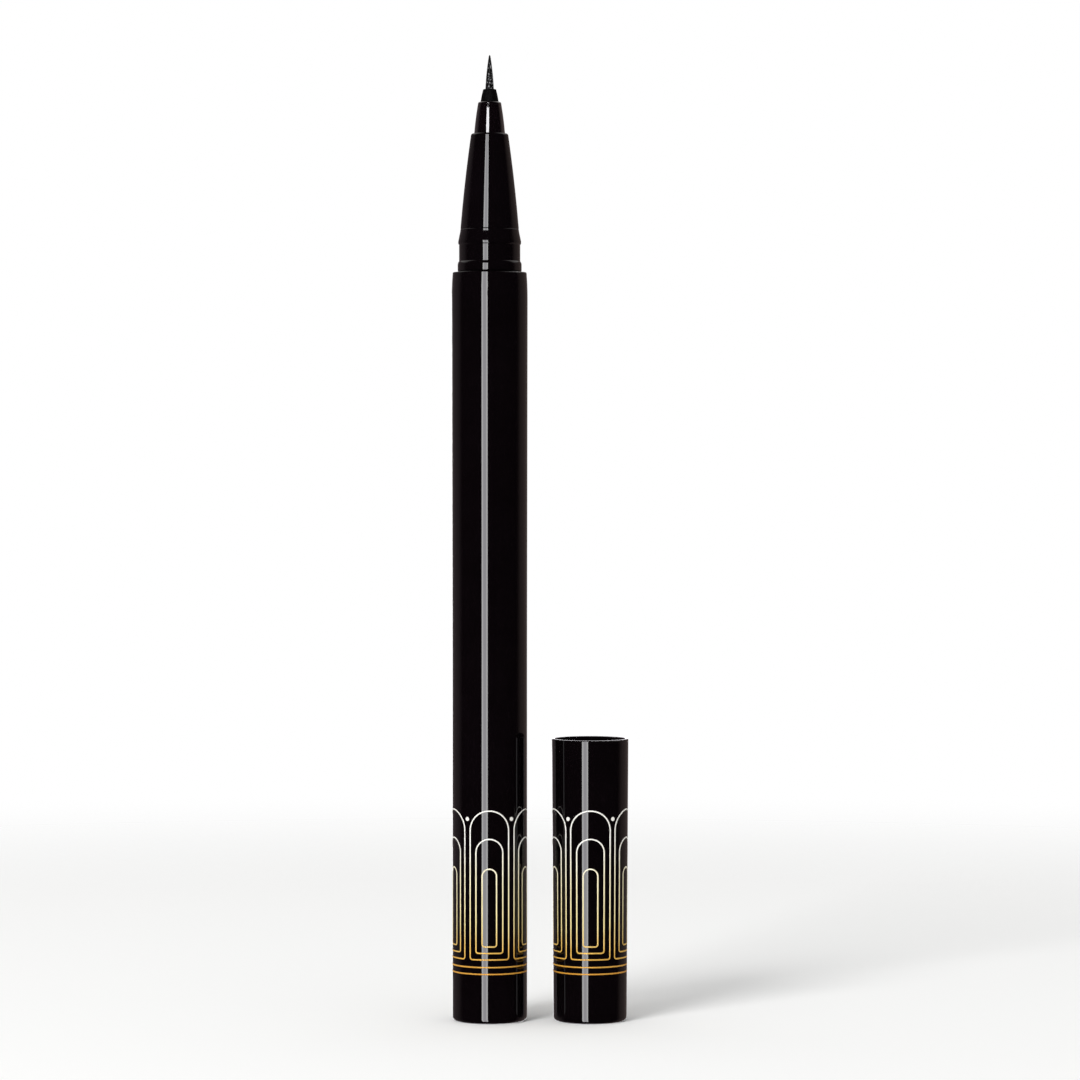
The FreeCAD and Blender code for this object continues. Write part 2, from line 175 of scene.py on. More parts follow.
def makeSoakedFibre():
    # bundled polyester yarn soaked with black liquid: dark, with lengthwise fibre lines
    material, tree, coords = startMaterial("soakedFibre")
    drawn = addNode(tree, "ShaderNodeMapping", {"Vector": coords, "Scale": (1, 1, 0.04)})
    lines = addNode(tree, "ShaderNodeTexNoise", {"Vector": drawn, "Scale": perMm(0.12), "Detail": 3.0})
    bump = addNode(tree, "ShaderNodeBump", {"Height": lines, "Distance": 0.03 * mm})
    rough = addNode(tree, "ShaderNodeMapRange", {
        "Value": lines, "From Min": 0.3, "From Max": 0.7, "To Min": 0.55, "To Max": 0.35})
    tone = addNode(tree, "ShaderNodeValToRGB", {"Fac": lines}, stops=[(0.3, "#0a0a0c"), (0.7, "#242428")])
    shader = addNode(tree, "ShaderNodeBsdfPrincipled", {
        "Base Color": tone, "Roughness": rough, "Normal": bump})
    addNode(tree, "ShaderNodeOutputMaterial", {"Surface": shader})
    return material


def makeClearFilm():
    # thin cast polypropylene film: see-through, glossy, faint wrinkles
    material, tree, coords = startMaterial("clearFilm")
    wrinkle = addNode(tree, "ShaderNodeTexNoise", {"Vector": coords, "Scale": perMm(2.5), "Detail": 3.0})
    bump = addNode(tree, "ShaderNodeBump", {"Height": wrinkle, "Distance": 0.02 * mm})
    rough = addNode(tree, "ShaderNodeMapRange", {
        "Value": wrinkle, "From Min": 0.3, "From Max": 0.7, "To Min": 0.06, "To Max": 0.16})
    shader = addNode(tree, "ShaderNodeBsdfPrincipled", {
        "Base Color": fromHex("#e6e8ea"), "Roughness": rough, "Normal": bump,
        "IOR": 1.49, "Transmission Weight": 0.85})
    addNode(tree, "ShaderNodeOutputMaterial", {"Surface": shader})
    return material


def makeNaturalPp():
    # uncoloured polypropylene: milky off-white, a soft moulded surface
    material, tree, coords = startMaterial("naturalPp")
    cloud = addNode(tree, "ShaderNodeTexNoise", {"Vector": coords, "Scale": perMm(1.8), "Detail": 4.0})
    bump = addNode(tree, "ShaderNodeBump", {"Height": cloud, "Distance": 0.006 * mm})
    rough = addNode(tree, "ShaderNodeMapRange", {
        "Value": cloud, "From Min": 0.3, "From Max": 0.7, "To Min": 0.32, "To Max": 0.44})
    tone = addNode(tree, "ShaderNodeValToRGB", {"Fac": cloud}, stops=[(0.3, "#d2d1c9"), (0.7, "#e3e2db")])
    shader = addNode(tree, "ShaderNodeBsdfPrincipled", {
        "Base Color": tone, "Roughness": rough, "Normal": bump, "IOR": 1.49,
        "Subsurface Weight": 0.2, "Subsurface Radius": (0.8 * mm, 0.7 * mm, 0.6 * mm)})
    addNode(tree, "ShaderNodeOutputMaterial", {"Surface": shader})
    return material


def makeSpringSteel():
    # drawn stainless wire: bright grey with fine die lines
    material, tree, coords = startMaterial("springSteel")
    lines = addNode(tree, "ShaderNodeTexNoise", {"Vector": coords, "Scale": perMm(0.08), "Detail": 3.0})
    bump = addNode(tree, "ShaderNodeBump", {"Height": lines, "Distance": 0.002 * mm})
    rough = addNode(tree, "ShaderNodeMapRange", {
        "Value": lines, "From Min": 0.3, "From Max": 0.7, "To Min": 0.22, "To Max": 0.34})
    tone = addNode(tree, "ShaderNodeValToRGB", {"Fac": lines}, stops=[(0.3, "#a9a9ac"), (0.7, "#c9c9cb")])
    shader = addNode(tree, "ShaderNodeBsdfPrincipled", {
        "Base Color": tone, "Roughness": rough, "Normal": bump, "Metallic": 1.0})
    addNode(tree, "ShaderNodeOutputMaterial", {"Surface": shader})
    return material


foilFinish = {
    "low": 6.0,  # heights between which the painted sheen goes from gold to near white, mm
    "high": 29.0,
    "clouding": 0.16,  # how far the painted sheen wanders, as a share of that stretch
    "paintedSheenTints": [(0.0, "#dd9a34"), (0.15, "#e9b854"), (0.3, "#f5e29e"), (0.55, "#fbf1c8"), (0.78, "#fffdf5")],
    "metallic": 0.15,
}


def makeGoldFoil():
    # hot-stamped metallised film: satin, gold at the foot and paler towards the top, faintly pebbled; the
    # paler top is a painted sheen that stands in for brighter reflected light
    material, tree, coords = startMaterial("goldFoil")
    clouding = foilFinish["clouding"]
    place = addNode(tree, "ShaderNodeSeparateXYZ", {"Vector": coords}).outputs
    cloud = addNode(tree, "ShaderNodeTexNoise", {"Vector": coords, "Scale": perMm(2.4), "Detail": 3.0})
    # painted sheen: the base colour goes from gold at the foot to near white at the top, in place of
    # brighter reflected light higher up
    height = addNode(tree, "ShaderNodeMapRange", {
        "Value": place["Z"], "From Min": foilFinish["low"] * mm, "From Max": foilFinish["high"] * mm,
        "To Min": -clouding / 2, "To Max": 1 - clouding / 2})
    shade = addNode(tree, calc, {0: cloud, 1: clouding, 2: height}, operation="MULTIPLY_ADD")
    tone = addNode(tree, "ShaderNodeValToRGB", {"Fac": shade}, stops=foilFinish["paintedSheenTints"])
    pebble = addNode(tree, "ShaderNodeTexNoise", {"Vector": coords, "Scale": perMm(0.2), "Detail": 3.0})
    bump = addNode(tree, "ShaderNodeBump", {"Height": pebble, "Distance": 0.006 * mm})
    rough = addNode(tree, "ShaderNodeMapRange", {
        "Value": pebble, "From Min": 0.3, "From Max": 0.7, "To Min": 0.3, "To Max": 0.46})
    shader = addNode(tree, "ShaderNodeBsdfPrincipled", {
        "Base Color": tone, "Roughness": rough, "Normal": bump, "Metallic": foilFinish["metallic"]})
    addNode(tree, "ShaderNodeOutputMaterial", {"Surface": shader})
    return material


glossBlackAbs = makeGlossBlackAbs("glossBlackAbs", {
    "waver": 0.0004, "roughLow": 0.03, "roughHigh": 0.055, "ior": 1.53, "coat": 0.0})
lacqueredAbs = makeGlossBlackAbs("lacqueredAbs", {
    "waver": 0.0003, "roughLow": 0.03, "roughHigh": 0.05, "ior": 1.53, "coat": 1.0})
satinBlackPp = makeSatinBlackPp("satinBlackPp", {
    "dark": "#0d0d0e", "light": "#141416", "roughLow": 0.48, "roughHigh": 0.62, "specular": 0.4})
mattBlackPp = makeSatinBlackPp("mattBlackPp", {
    "dark": "#030303", "light": "#060607", "roughLow": 0.55, "roughHigh": 0.7, "specular": 0.12})
wetFelt = makeWetFelt()
goldFoil = makeGoldFoil()
springSteel = makeSpringSteel()
soakedFibre = makeSoakedFibre()

finishes = {
    "barrel": glossBlackAbs,
    "front_section": glossBlackAbs,
    "nozzle": lacqueredAbs,
    "nib_collar": mattBlackPp,
    "nib": wetFelt,
    "tail_plug": satinBlackPp,
    "reservoir_core": soakedFibre,
    "feed_wick": soakedFibre,
    "reservoir_film": makeClearFilm(),
    "wick_holder": makeNaturalPp(),
    "cap_shell": glossBlackAbs,
    "cap_liner": satinBlackPp,
    "inner_cap": satinBlackPp,
    "inner_cap_spring": springSteel,
}
for nodeName, finish in finishes.items():
    nodes[nodeName].material_slots[0].material = finish
print("materials:", len(bpy.data.materials))


# Geometry Nodes: a tree gets one named input for each size, and its result becomes a plain mesh

def startTree(name, sizes):
    tree = bpy.data.node_groups.new(name, "GeometryNodeTree")
    tree.interface.new_socket("Geometry", in_out="OUTPUT", socket_type="NodeSocketGeometry")
    for label, size in sizes.items():
        kind = "NodeSocketInt" if isinstance(size, int) else "NodeSocketFloat"
        tree.interface.new_socket(label, in_out="INPUT", socket_type=kind)
    return tree, addNode(tree, "NodeGroupInput").outputs


def endTree(tree, geometry, material):
    real = addNode(tree, "GeometryNodeRealizeInstances", {"Geometry": geometry})
    coated = addNode(tree, "GeometryNodeSetMaterial", {"Geometry": real, "Material": material})
    addNode(tree, "NodeGroupOutput", {"Geometry": coated})


def growPiece(name, tree, sizes, material):
    piece = newObject(name, bpy.data.meshes.new(name))
    modifier = piece.modifiers.new(tree.name, "NODES")
    modifier.node_group = tree
    for item in tree.interface.items_tree:
        if item.in_out == "INPUT":
            modifier[item.identifier] = sizes[item.name]
    grown = piece.evaluated_get(bpy.context.evaluated_depsgraph_get())
    mesh = bpy.data.meshes.new_from_object(grown)
    piece.modifiers.remove(modifier)
    piece.data = mesh
    mesh.name = name
    mesh.materials.clear()
    mesh.materials.append(material)
    print(name + ":", len(mesh.polygons), "faces")
    return piece


def inMetres(sizes):
    return {label: size if isinstance(size, int) else size * mm for label, size in sizes.items()}


# gold band: nested arches over a pair of rings, drawn flat and wrapped round the wall

goldBand = {
    "Bays": 5,
    "Line": 0.18,  # width of every line
    "Thickness": 0.03,
    "Spacing": 0.2,  # between the points of a line
    "Corner": 0.3,  # rounding at the foot of an arch
    "Corner Points": 20,
    "Outer Half": 2.65,
    "Outer Foot": 8.5,
    "Outer Top": 28.0,
    "Middle Half": 1.8,
    "Middle Foot": 9.35,
    "Middle Top": 24.3,
    "Inner Half": 0.95,
    "Inner Foot": 10.2,
    "Inner Top": 20.4,
    "Bead": 0.27,
    "Bead Sides": 24,
    "Bead Height": 26.9,
    "Upper Ring": 7.5,
    "Lower Ring": 6.6,
    "Ring Points": 160,
}
foilProud = 0.012 * mm  # how far the foil stands out of the wall


def makeBandTree(sizes):
    tree, given = startTree("goldBand", sizes)
    # flat drawing: X runs round the wall, Y up it, Z out of it
    section = addNode(tree, "GeometryNodeCurvePrimitiveQuadrilateral", {
        "Width": given["Line"], "Height": given["Thickness"]})
    index = addNode(tree, "GeometryNodeInputIndex")
    isTop = addNode(tree, calc, {0: index, 1: 1.5}, operation="LESS_THAN")  # corners 0 and 1 of an outline
    arches = addNode(tree, "GeometryNodeJoinGeometry")
    for label in ("Outer", "Middle", "Inner"):
        half, foot, top = given[label + " Half"], given[label + " Foot"], given[label + " Top"]
        width = addNode(tree, calc, {0: half, 1: 2.0}, operation="MULTIPLY")
        height = addNode(tree, calc, {0: top, 1: foot}, operation="SUBTRACT")
        middle = addNode(tree, calc, {0: height, 1: 0.5, 2: foot}, operation="MULTIPLY_ADD")
        outline = addNode(tree, "GeometryNodeCurvePrimitiveQuadrilateral", {
            "Width": width, "Height": height})
        more = addNode(tree, calc, {0: half, 1: given["Corner"]}, operation="SUBTRACT")
        radius = addNode(tree, calc, {0: isTop, 1: more, 2: given["Corner"]}, operation="MULTIPLY_ADD")
        rounded = addNode(tree, "GeometryNodeFilletCurve", {
            "Curve": outline, "Radius": radius, "Limit Radius": True, "Count": given["Corner Points"]},
            mode="POLY")
        place = addNode(tree, "ShaderNodeCombineXYZ", {"Y": middle})
        arch = addNode(tree, "GeometryNodeTransform", {"Geometry": rounded, "Translation": place})
        tree.links.new(arch.outputs[0], arches.inputs[0])
    evenly = addNode(tree, "GeometryNodeResampleCurve", {
        "Curve": arches, "Length": given["Spacing"]}, mode="LENGTH")
    strips = addNode(tree, "GeometryNodeCurveToMesh", {"Curve": evenly, "Profile Curve": section})
    around = addNode(tree, calc, {0: given["Radius"], 1: 2 * math.pi}, operation="MULTIPLY")
    pitch = addNode(tree, calc, {0: around, 1: given["Bays"]}, operation="DIVIDE")
    halfPitch = addNode(tree, calc, {0: pitch, 1: 0.5}, operation="MULTIPLY")
    disc = addNode(tree, "GeometryNodeMeshCylinder", {
        "Vertices": given["Bead Sides"], "Radius": given["Bead"], "Depth": given["Thickness"]},
        fill_type="TRIANGLE_FAN")
    beadPlace = addNode(tree, "ShaderNodeCombineXYZ", {"X": halfPitch, "Y": given["Bead Height"]})
    bead = addNode(tree, "GeometryNodeTransform", {"Geometry": disc, "Translation": beadPlace})
    bay = addNode(tree, "GeometryNodeJoinGeometry", {"Geometry": strips})
    tree.links.new(bead.outputs[0], bay.inputs[0])
    step = addNode(tree, "ShaderNodeCombineXYZ", {"X": pitch})
    starts = addNode(tree, "GeometryNodeMeshLine", {"Count": given["Bays"], "Offset": step})
    bays = addNode(tree, "GeometryNodeInstanceOnPoints", {"Points": starts, "Instance": bay})
    flat = addNode(tree, "GeometryNodeRealizeInstances", {"Geometry": bays})

    # wrap: the angle follows X, and the wall's radius follows its slope
    position = addNode(tree, "GeometryNodeInputPosition")
    drawn = addNode(tree, "ShaderNodeSeparateXYZ", {"Vector": position}).outputs
    angle = addNode(tree, calc, {0: drawn["X"], 1: given["Radius"]}, operation="DIVIDE")
    wall = addNode(tree, calc, {
        0: drawn["Y"], 1: given["Slope"], 2: given["Radius"]}, operation="MULTIPLY_ADD")
    reach = addNode(tree, calc, {0: wall, 1: drawn["Z"]}, operation="ADD")
    front = addNode(tree, calc, {0: reach, 1: -1.0}, operation="MULTIPLY")
    upright = addNode(tree, "ShaderNodeCombineXYZ", {"Y": front, "Z": drawn["Y"]})
    swung = addNode(tree, "ShaderNodeVectorRotate", {
        "Vector": upright, "Angle": angle}, rotation_type="Z_AXIS")
    wrapped = addNode(tree, "GeometryNodeSetPosition", {"Geometry": flat, "Position": swung})

    whole = addNode(tree, "GeometryNodeJoinGeometry", {"Geometry": wrapped})
    ringSection = addNode(tree, "GeometryNodeCurvePrimitiveQuadrilateral", {
        "Width": given["Thickness"], "Height": given["Line"]})
    for label in ("Upper Ring", "Lower Ring"):
        ringRadius = addNode(tree, calc, {
            0: given[label], 1: given["Slope"], 2: given["Radius"]}, operation="MULTIPLY_ADD")
        circle = addNode(tree, "GeometryNodeCurvePrimitiveCircle", {
            "Resolution": given["Ring Points"], "Radius": ringRadius})
        ring = addNode(tree, "GeometryNodeCurveToMesh", {"Curve": circle, "Profile Curve": ringSection})
        lift = addNode(tree, "ShaderNodeCombineXYZ", {"Z": given[label]})
        raised = addNode(tree, "GeometryNodeTransform", {"Geometry": ring, "Translation": lift})
        tree.links.new(raised.outputs[0], whole.inputs[0])
    centre = addNode(tree, "ShaderNodeCombineXYZ", {"X": given["Centre X"]})
    standing = addNode(tree, "GeometryNodeTransform", {"Geometry": whole, "Translation": centre})
    endTree(tree, standing, goldFoil)
    return tree


def bandOn(wallRadius, wallSlope, centreX):
    sizes = inMetres(goldBand)
    sizes["Radius"] = wallRadius + foilProud - sizes["Thickness"] / 2  # of the foil's middle layer
    sizes["Slope"] = wallSlope
    sizes["Centre X"] = centreX
    return sizes


capLow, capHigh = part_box("cap_shell")
capX = (capLow.x + capHigh.x) / 2
capDraft = 0.215 * mm  # how much narrower the closed end is than the mouth, on one side
capSlope = capDraft / (capHigh.z - capLow.z)
capEndRadius = (capHigh.x - capLow.x) / 2 - capDraft
barrelGrip = next(mount for mount in frame["record"]["mounts"] if mount["name"] == "barrel_grip")
barrelRadius = barrelGrip["dims"]["r_mm"] * mm
onBarrel = bandOn(barrelRadius, 0.0, 0.0)
bandTree = makeBandTree(onBarrel)
barrelFoil = growPiece("barrelFoil", bandTree, onBarrel, goldFoil)
capFoil = growPiece("capFoil", bandTree, bandOn(capEndRadius, capSlope, capX), goldFoil)
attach(barrelFoil, "pen")
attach(capFoil, "cap")


# nib: a felt point with fibre relief, and single fibres that lie on it

nibShape = {
    "taper": 4.5,  # length of the point, and of the hidden rear end
    "bulge": 0.07,
    "tip": 0.085,
    "blunt": 0.02,  # share of the radius that is left at the very end
    "relief": 0.014,  # depth of the furrows between fibres
    "leastRelief": 0.1,  # share of that depth that is left at the tip
    "deepest": 0.5,  # a furrow takes no more than this share of the radius
    "furrow": 1.1,  # length of a furrow
    "furrowsAcross": 5.5,  # about that many in a radius
    "sides": 72,
    "rings": 150,
}
nibLow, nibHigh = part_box("nib")
nibRadius = (nibHigh.x - nibLow.x) / 2
nibTaper = nibShape["taper"] * mm
nibTip = nibShape["tip"] * mm


def nibProfile(z):
    # radius of the nib: bowed tapers at both ends, a straight rod between them
    share = min(1.0, min(z - nibLow.z, nibHigh.z - z) / nibTaper)
    cone = nibTip + (nibRadius - nibTip) * share
    return cone + 4 * nibShape["bulge"] * mm * share * (1 - share)


def makeNib():
    work = bmesh.new()
    sides = nibShape["sides"]
    rings = nibShape["rings"]
    loops = []
    for k in range(rings + 1):
        z = nibLow.z + (nibHigh.z - nibLow.z) * k / rings
        edge = min(z - nibLow.z, nibHigh.z - z)
        ending = math.sqrt(max(0.0, 1 - (1 - min(1.0, edge / nibTip)) ** 2))  # rounds off the very end
        base = nibProfile(z) * max(ending, nibShape["blunt"])
        relief = nibShape["relief"] * mm * min(1.0, base / nibRadius + nibShape["leastRelief"])
        loop = []
        for i in range(sides):
            angle = 2 * math.pi * i / sides
            across = Vector((math.sin(angle), -math.cos(angle), 0.0))
            spot = across * nibShape["furrowsAcross"] + Vector((0, 0, z / (nibShape["furrow"] * mm)))
            depth = relief * (0.5 - 0.5 * noise.noise(spot))  # the noise goes from -1 to 1
            point = across * (base - min(depth, base * nibShape["deepest"]))
            loop.append(work.verts.new((point.x, point.y, z)))
        loops.append(loop)
    for lower, upper in zip(loops, loops[1:]):
        for i in range(sides):
            j = (i + 1) % sides
            work.faces.new((lower[i], lower[j], upper[j], upper[i]))
    work.faces.new(list(reversed(loops[0])))
    work.faces.new(loops[-1])
    for face in work.faces:
        face.smooth = True
    return fromBmesh("feltNib", work, wetFelt)


nibFibre = {
    "Fibres": 84,
    "Seed": 7,
    "Points": 26,
    "Sides": 5,
    "Fibre Radius": 0.014 * mm,
    "Sunk": 1.1,  # depth of a fibre's middle in the felt, in its radii
    "Sway": 0.5,  # how far round the nib a fibre wanders, in radians
    "Sway Scale": 2.2,
    "Thinning": 0.7,  # share of its radius that a fibre loses towards its end
    "Foot": nibHigh.z - nibTaper,
    "Length": nibTaper,
    "Foot Radius": nibRadius,
    "Tip Radius": nibTip,
    "Bulge": nibShape["bulge"] * mm,
}
fibreChances = {
    "start": (0.0, 0.45),  # shares of the point's length
    "end": (0.5, 0.985),
    "lean": (-0.05, 0.05),  # turned round the nib, in radians
}


def makeFibreTree(sizes):
    tree, given = startTree("nibFibres", sizes)
    line = addNode(tree, "GeometryNodeCurvePrimitiveLine")
    fine = addNode(tree, "GeometryNodeResampleCurve", {"Curve": line, "Count": given["Points"]})
    copies = addNode(tree, "GeometryNodeDuplicateElements", {
        "Geometry": fine, "Amount": given["Fibres"]}, domain="SPLINE")
    number = copies.outputs["Duplicate Index"]
    chances = {}
    for k, (label, (low, high)) in enumerate(fibreChances.items()):
        seed = addNode(tree, calc, {0: given["Seed"], 1: float(k)}, operation="ADD")
        chance = addNode(tree, "FunctionNodeRandomValue", {
            "Min": low, "Max": high, "ID": number, "Seed": seed}, data_type="FLOAT")
        chances[label] = chance.outputs["Value"]

    # share goes along the point from 0 at the collar to 1 at the tip; the fibre lies just in the felt there
    along = addNode(tree, "GeometryNodeSplineParameter").outputs["Factor"]
    share = addNode(tree, "ShaderNodeMapRange", {
        "Value": along, "To Min": chances["start"], "To Max": chances["end"]})
    cone = addNode(tree, "ShaderNodeMapRange", {
        "Value": share, "To Min": given["Foot Radius"], "To Max": given["Tip Radius"]})
    rest = addNode(tree, calc, {0: 1.0, 1: share}, operation="SUBTRACT")
    hump = addNode(tree, calc, {0: share, 1: rest}, operation="MULTIPLY")
    bow = addNode(tree, calc, {0: given["Bulge"], 1: 4.0}, operation="MULTIPLY")
    felt = addNode(tree, calc, {0: hump, 1: bow, 2: cone}, operation="MULTIPLY_ADD")
    sunk = addNode(tree, calc, {0: given["Fibre Radius"], 1: given["Sunk"]}, operation="MULTIPLY")
    lie = addNode(tree, calc, {0: felt, 1: sunk}, operation="SUBTRACT")
    wanderAt = addNode(tree, "ShaderNodeCombineXYZ", {"X": number, "Y": share})
    wander = addNode(tree, "ShaderNodeTexNoise", {
        "Vector": wanderAt, "Scale": given["Sway Scale"], "Detail": 1.0}, noise_dimensions="2D")
    sway = addNode(tree, calc, {0: wander, 1: given["Sway"], 2: chances["lean"]}, operation="MULTIPLY_ADD")
    turn = addNode(tree, calc, {0: number, 1: given["Fibres"]}, operation="DIVIDE")
    angle = addNode(tree, calc, {0: turn, 1: 2 * math.pi, 2: sway}, operation="MULTIPLY_ADD")
    height = addNode(tree, calc, {0: share, 1: given["Length"], 2: given["Foot"]}, operation="MULTIPLY_ADD")
    upright = addNode(tree, "ShaderNodeCombineXYZ", {"Y": lie, "Z": height})
    place = addNode(tree, "ShaderNodeVectorRotate", {
        "Vector": upright, "Angle": angle}, rotation_type="Z_AXIS")
    laid = addNode(tree, "GeometryNodeSetPosition", {"Geometry": copies, "Position": place})
    nearEnd = addNode(tree, calc, {0: along, 1: 3.0}, operation="POWER")  # stays low until the last stretch
    lost = addNode(tree, calc, {0: nearEnd, 1: given["Thinning"]}, operation="MULTIPLY")
    slim = addNode(tree, calc, {0: 1.0, 1: lost}, operation="SUBTRACT")
    thin = addNode(tree, calc, {0: given["Fibre Radius"], 1: slim}, operation="MULTIPLY")
    section = addNode(tree, "GeometryNodeCurvePrimitiveCircle", {
        "Resolution": given["Sides"], "Radius": 1.0})
    tubes = addNode(tree, "GeometryNodeCurveToMesh", {
        "Curve": laid, "Profile Curve": section, "Scale": thin, "Fill Caps": True})
    endTree(tree, tubes, wetFelt)
    return tree


feltNib = makeNib()
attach(feltNib, "pen")
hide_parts("nib")
nibFibres = growPiece("nibFibres", makeFibreTree(nibFibre), nibFibre, wetFelt)
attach(nibFibres, "pen")


# spring behind the inner cap: one fixed coil here, though the real spring shortens as the inner cap is
# pressed

springLow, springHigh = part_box("inner_cap_spring")
springHeight = springHigh.z - springLow.z
wireRadius = 0.175 * mm
capSpringShape = {
    "Turns": 6.0,
    "Turn Points": 48,
    "Radius": (springHigh.y - springLow.y) / 2 - wireRadius,
    "Height": springHeight - 2 * wireRadius,
    "Wire Radius": wireRadius,
    "Wire Sides": 14,
    "Centre X": capX,
    "Foot": springLow.z + wireRadius,
}


def makeSpringTree(sizes):
    tree, given = startTree("capSpring", sizes)
    helix = addNode(tree, "GeometryNodeCurveSpiral", {
        "Resolution": given["Turn Points"], "Rotations": given["Turns"], "Start Radius": given["Radius"],
        "End Radius": given["Radius"], "Height": given["Height"], "Reverse": True})
    section = addNode(tree, "GeometryNodeCurvePrimitiveCircle", {
        "Resolution": given["Wire Sides"], "Radius": given["Wire Radius"]})
    wire = addNode(tree, "GeometryNodeCurveToMesh", {
        "Curve": helix, "Profile Curve": section, "Fill Caps": True})
    place = addNode(tree, "ShaderNodeCombineXYZ", {"X": given["Centre X"], "Z": given["Foot"]})
    moved = addNode(tree, "GeometryNodeTransform", {"Geometry": wire, "Translation": place})
    smooth = addNode(tree, "GeometryNodeSetShadeSmooth", {"Geometry": moved})
    endTree(tree, smooth, springSteel)
    return tree


capSpring = growPiece("capSpring", makeSpringTree(capSpringShape), capSpringShape, springSteel)
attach(capSpring, "cap")
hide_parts("inner_cap_spring")
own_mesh(capSpring)
print("pieces made")


# stage: a floor, and a tent and strip lights that only reflections see

floorShape = {
    "radius": 0.42,
    "segments": 96,
    "fade": (0.16, 0.38),  # the floor thins out into the white ground between these radii
    "paper": "#fcfcfb",
}


def makeFloor():
    # matt white paper: even, with no gloss
    material, tree, coords = startMaterial("palePaper")
    place = addNode(tree, "ShaderNodeSeparateXYZ", {"Vector": coords}).outputs
    flat = addNode(tree, "ShaderNodeCombineXYZ", {"X": place["X"], "Y": place["Y"]})
    radius = addNode(tree, "ShaderNodeVectorMath", {0: flat}, operation="LENGTH").outputs["Value"]
    near, far = floorShape["fade"]
    fade = addNode(tree, "ShaderNodeMapRange", {
        "Value": radius, "From Min": near, "From Max": far, "To Min": 1.0, "To Max": 0.0},
        interpolation_type="SMOOTHSTEP")
    shader = addNode(tree, "ShaderNodeBsdfPrincipled", {
        "Base Color": fromHex(floorShape["paper"]), "Roughness": 0.9, "Specular IOR Level": 0.0,
        "Alpha": fade})
    addNode(tree, "ShaderNodeOutputMaterial", {"Surface": shader})
    work = bmesh.new()
    bmesh.ops.create_circle(
        work, cap_ends=True, segments=floorShape["segments"], radius=floorShape["radius"])
    floor = fromBmesh("floor", work, material)
    floor.visible_glossy = False


def onlyReflected(thing):
    thing.visible_camera = False
    thing.visible_diffuse = False
    thing.visible_transmission = False
    thing.visible_volume_scatter = False
    thing.visible_shadow = False


tentShape = {
    "radius": 2.0,
    "segments": (48, 24),  # round it and up it
    "front": "#1c1217",
    "rearLeft": "#62585a",
    "rearRight": "#6f625f",
    "canopy": "#d8d4d2",
    # the rest are shares of the radius
    "rearFull": 0.42,  # how far back the rear tone is full
    "sideFull": 0.3,  # how far out the left or the right tone is full
    "canopyHeights": [(0.36, "#000000"), (0.48, "#ffffff"), (0.9, "#ffffff"), (0.98, "#000000")],
}


def makeTent():
    # dark felt in front, dim warm paper behind, a little brighter on the right, with a pale canopy above
    material, tree, coords = startMaterial("tentFelt")
    place = addNode(tree, "ShaderNodeSeparateXYZ", {"Vector": coords}).outputs
    reach = tentShape["radius"]
    sideReach = tentShape["sideFull"] * reach
    behind = addNode(tree, "ShaderNodeMapRange", {
        "Value": place["Y"], "From Min": 0.0, "From Max": tentShape["rearFull"] * reach},
        interpolation_type="SMOOTHSTEP")
    side = addNode(tree, "ShaderNodeMapRange", {
        "Value": place["X"], "From Min": -sideReach, "From Max": sideReach})
    left, right = [
        addNode(tree, "ShaderNodeValToRGB", {"Fac": behind}, stops=[(0.0, tentShape["front"]), (1.0, rear)])
        for rear in (tentShape["rearLeft"], tentShape["rearRight"])]
    sides = addNode(tree, "ShaderNodeMixRGB", {"Fac": side, "Color1": left, "Color2": right})
    height = addNode(tree, calc, {0: place["Z"], 1: reach}, operation="DIVIDE")
    above = addNode(tree, "ShaderNodeValToRGB", {"Fac": height}, stops=tentShape["canopyHeights"])
    canopy = addNode(tree, calc, {0: above, 1: behind}, operation="MULTIPLY")
    tone = addNode(tree, "ShaderNodeMixRGB", {
        "Fac": canopy, "Color1": sides, "Color2": fromHex(tentShape["canopy"])})
    glow = addNode(tree, "ShaderNodeEmission", {"Color": tone, "Strength": 1.0})
    addNode(tree, "ShaderNodeOutputMaterial", {"Surface": glow})
    work = bmesh.new()
    around, up = tentShape["segments"]
    bmesh.ops.create_uvsphere(work, u_segments=around, v_segments=up, radius=reach)
    onlyReflected(fromBmesh("tent", work, material))


stripDistance = 0.8
stripSteps = 16
keyStrip = {
    "azimuths": (-24.0, -5.8),  # 0 is towards the camera, positive to its right
    "heights": (-0.75, 0.455),  # the top is just low enough to leave the flare dark
    "stops": [(0.0, "#ffffff"), (0.16, "#ffffff"), (0.3, "#d6d4d9"), (0.72, "#d6d4d9"), (0.86, "#ffffff")],
    "strength": 8.8,
}
rearStrip = {
    "azimuths": (174.0, 186.0),
    "heights": (-0.75, 0.13),  # its top just glints in the rim of the cap
    "stops": [(0.0, "#ffffff"), (0.2, "#d6d4d9"), (0.8, "#d6d4d9"), (1.0, "#ffffff")],
    "strength": 4.2,
}


